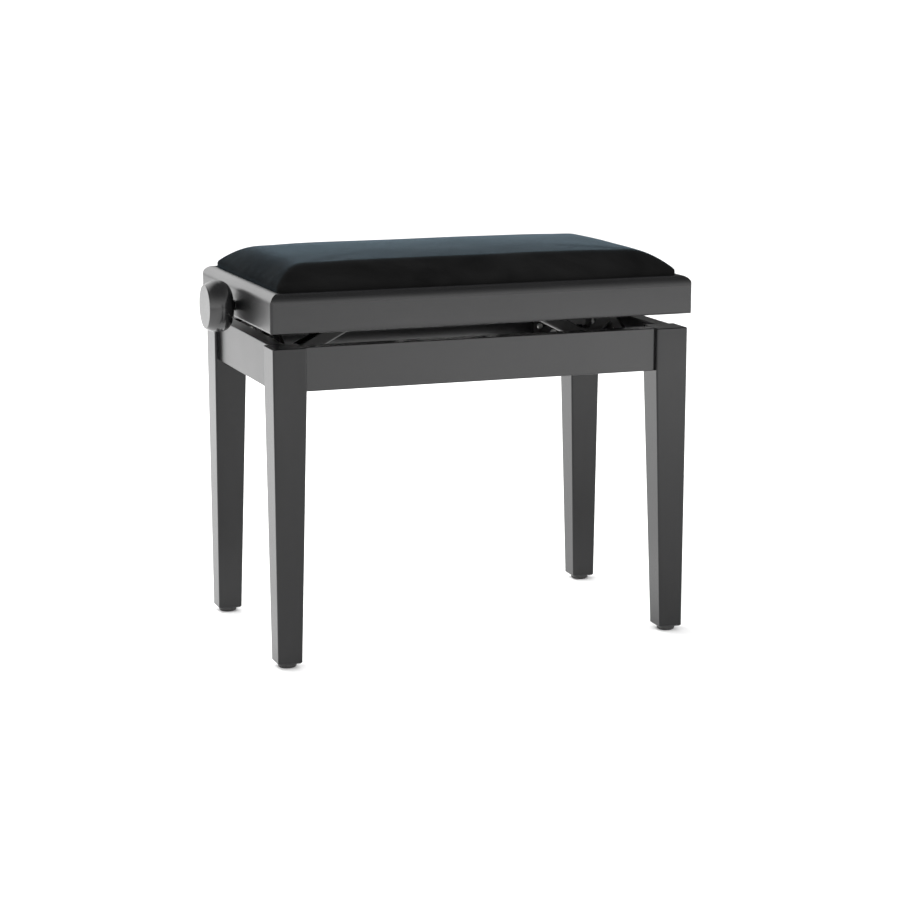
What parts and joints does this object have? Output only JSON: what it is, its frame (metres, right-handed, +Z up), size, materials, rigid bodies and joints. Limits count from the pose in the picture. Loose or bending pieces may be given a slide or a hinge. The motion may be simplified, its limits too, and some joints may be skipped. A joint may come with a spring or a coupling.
{
  "type": "adjustable piano bench",
  "caption": "Height-adjustable piano bench: padded velour top on a mitred frame, tapered legs and a scissor lift turned by a side knob.",
  "frame": {"origin": "middle of the whole outline on the floor, the knob included; the bench's own centre line is 19.4 mm to its right", "axes": "+X to the sitter's right along the bench's length, with the knob on the -X end; +Y from front to back; +Z up"},
  "size_m": [0.5888, 0.33, 0.4975],
  "materials": {
    "black_wood": "satin",
    "black_knob": "satin",
    "plain_wood": "matte",
    "black_board": "matte stain",
    "foam": "matte",
    "velour": "soft pile",
    "glide_plastic": "matte",
    "bush_plastic": "matte",
    "bright_steel": "zinc plated",
    "black_steel": "satin powder coat"
  },
  "bodies": {
    "base": {"apron_back": "black_wood", "apron_dowels": "plain_wood", "apron_front": "black_wood", "apron_left": "black_wood", "apron_right": "black_wood", "corner_plates": "black_steel", "corner_screws": "bright_steel", "foot_glides": "glide_plastic", "hanger_bolts": "bright_steel", "hanger_nuts": "bright_steel", "leg_back_left": "black_wood", "leg_back_right": "black_wood", "leg_front_left": "black_wood", "leg_front_right": "black_wood", "lower_rail_left": "black_steel", "lower_rail_right": "black_steel", "lower_rail_screws": "bright_steel", "strut_bar_left": "black_steel", "strut_bar_right": "black_steel", "strut_bar_screws": "bright_steel", "strut_foot_pins": "bright_steel"},
    "outer_arms": {"outer_arm_left": "black_steel", "outer_arm_right": "black_steel", "lower_pivot_studs": "bright_steel", "upper_slide_studs": "bright_steel", "scissor_rivets": "bright_steel", "lower_tube": "black_steel"},
    "inner_arms": {"inner_arm_left": "black_steel", "inner_arm_right": "black_steel", "upper_pivot_studs": "bright_steel", "lower_slide_studs": "bright_steel", "upper_tube": "black_steel"},
    "seat": {"bearing_bracket_left": "black_steel", "bearing_bracket_right": "black_steel", "bearing_bushes": "bush_plastic", "bracket_screws": "bright_steel", "knob_bush": "bush_plastic", "seat_board": "black_board", "seat_board_screws": "bright_steel", "seat_corner_blocks": "black_board", "seat_cover": "velour", "seat_foam": "foam", "seat_rail_back": "black_wood", "seat_rail_front": "black_wood", "seat_rail_left": "black_wood", "seat_rail_right": "black_wood", "upper_rail_left": "black_steel", "upper_rail_right": "black_steel", "upper_rail_screws": "bright_steel"},
    "strut_left": {"strut_left": "black_steel"},
    "strut_right": {"strut_right": "black_steel"},
    "nut_left": {"nut_left": "bright_steel", "nut_pin_left": "bright_steel"},
    "nut_right": {"nut_right": "bright_steel", "nut_pin_right": "bright_steel"},
    "spindle": {"spindle": "bright_steel", "spindle_collars": "bright_steel", "knob": "black_knob", "knob_screw": "bright_steel"}
  },
  "joints": [
    {"name": "lift", "type": "hinge", "parent": "base", "child": "outer_arms", "pos_m": [0.0194, 0.073, 0.354], "axis": [-1, 0, 0], "range_deg": [-5.49, 32.51]},
    {"name": "scissor_cross", "type": "hinge", "parent": "outer_arms", "child": "inner_arms", "pos_m": [0.0194, -0.01349, 0.399], "axis": [-1, 0, 0], "range_deg": [-65.53, 11.47]},
    {"name": "seat_level", "type": "hinge", "parent": "inner_arms", "child": "seat", "pos_m": [0.0194, 0.073, 0.444], "axis": [-1, 0, 0], "range_deg": [-5.79, 32.81]},
    {"name": "strut_left_swing", "type": "hinge", "parent": "base", "child": "strut_left", "pos_m": [-0.1986, 0, 0.356], "axis": [0, -1, 0], "range_deg": [-5.79, 32.81]},
    {"name": "strut_right_swing", "type": "hinge", "parent": "base", "child": "strut_right", "pos_m": [0.2374, 0, 0.356], "axis": [0, 1, 0], "range_deg": [-5.79, 32.81]},
    {"name": "nut_left_tilt", "type": "hinge", "parent": "strut_left", "child": "nut_left", "pos_m": [-0.02561, 0, 0.446], "axis": [0, -1, 0], "range_deg": [-32.81, 5.79]},
    {"name": "nut_right_tilt", "type": "hinge", "parent": "strut_right", "child": "nut_right", "pos_m": [0.06441, 0, 0.446], "axis": [0, 1, 0], "range_deg": [-32.81, 5.79]},
    {"name": "knob_turn", "type": "hinge", "parent": "seat", "child": "spindle", "pos_m": [0.0194, 0, 0.4295], "axis": [-1, 0, 0], "range_deg": [-745.6, 4394.4]}
  ],
  "couplings": [
    {"joint": "scissor_cross", "follows": "lift", "ratio": -2},
    {"joint": "seat_level", "follows": "lift", "ratio": 1},
    {"joint": "strut_left_swing", "follows": "lift", "ratio": 1},
    {"joint": "strut_right_swing", "follows": "lift", "ratio": 1},
    {"joint": "nut_left_tilt", "follows": "lift", "ratio": -1},
    {"joint": "nut_right_tilt", "follows": "lift", "ratio": -1},
    {"joint": "knob_turn", "follows": "lift", "ratio": 135}
  ]
}
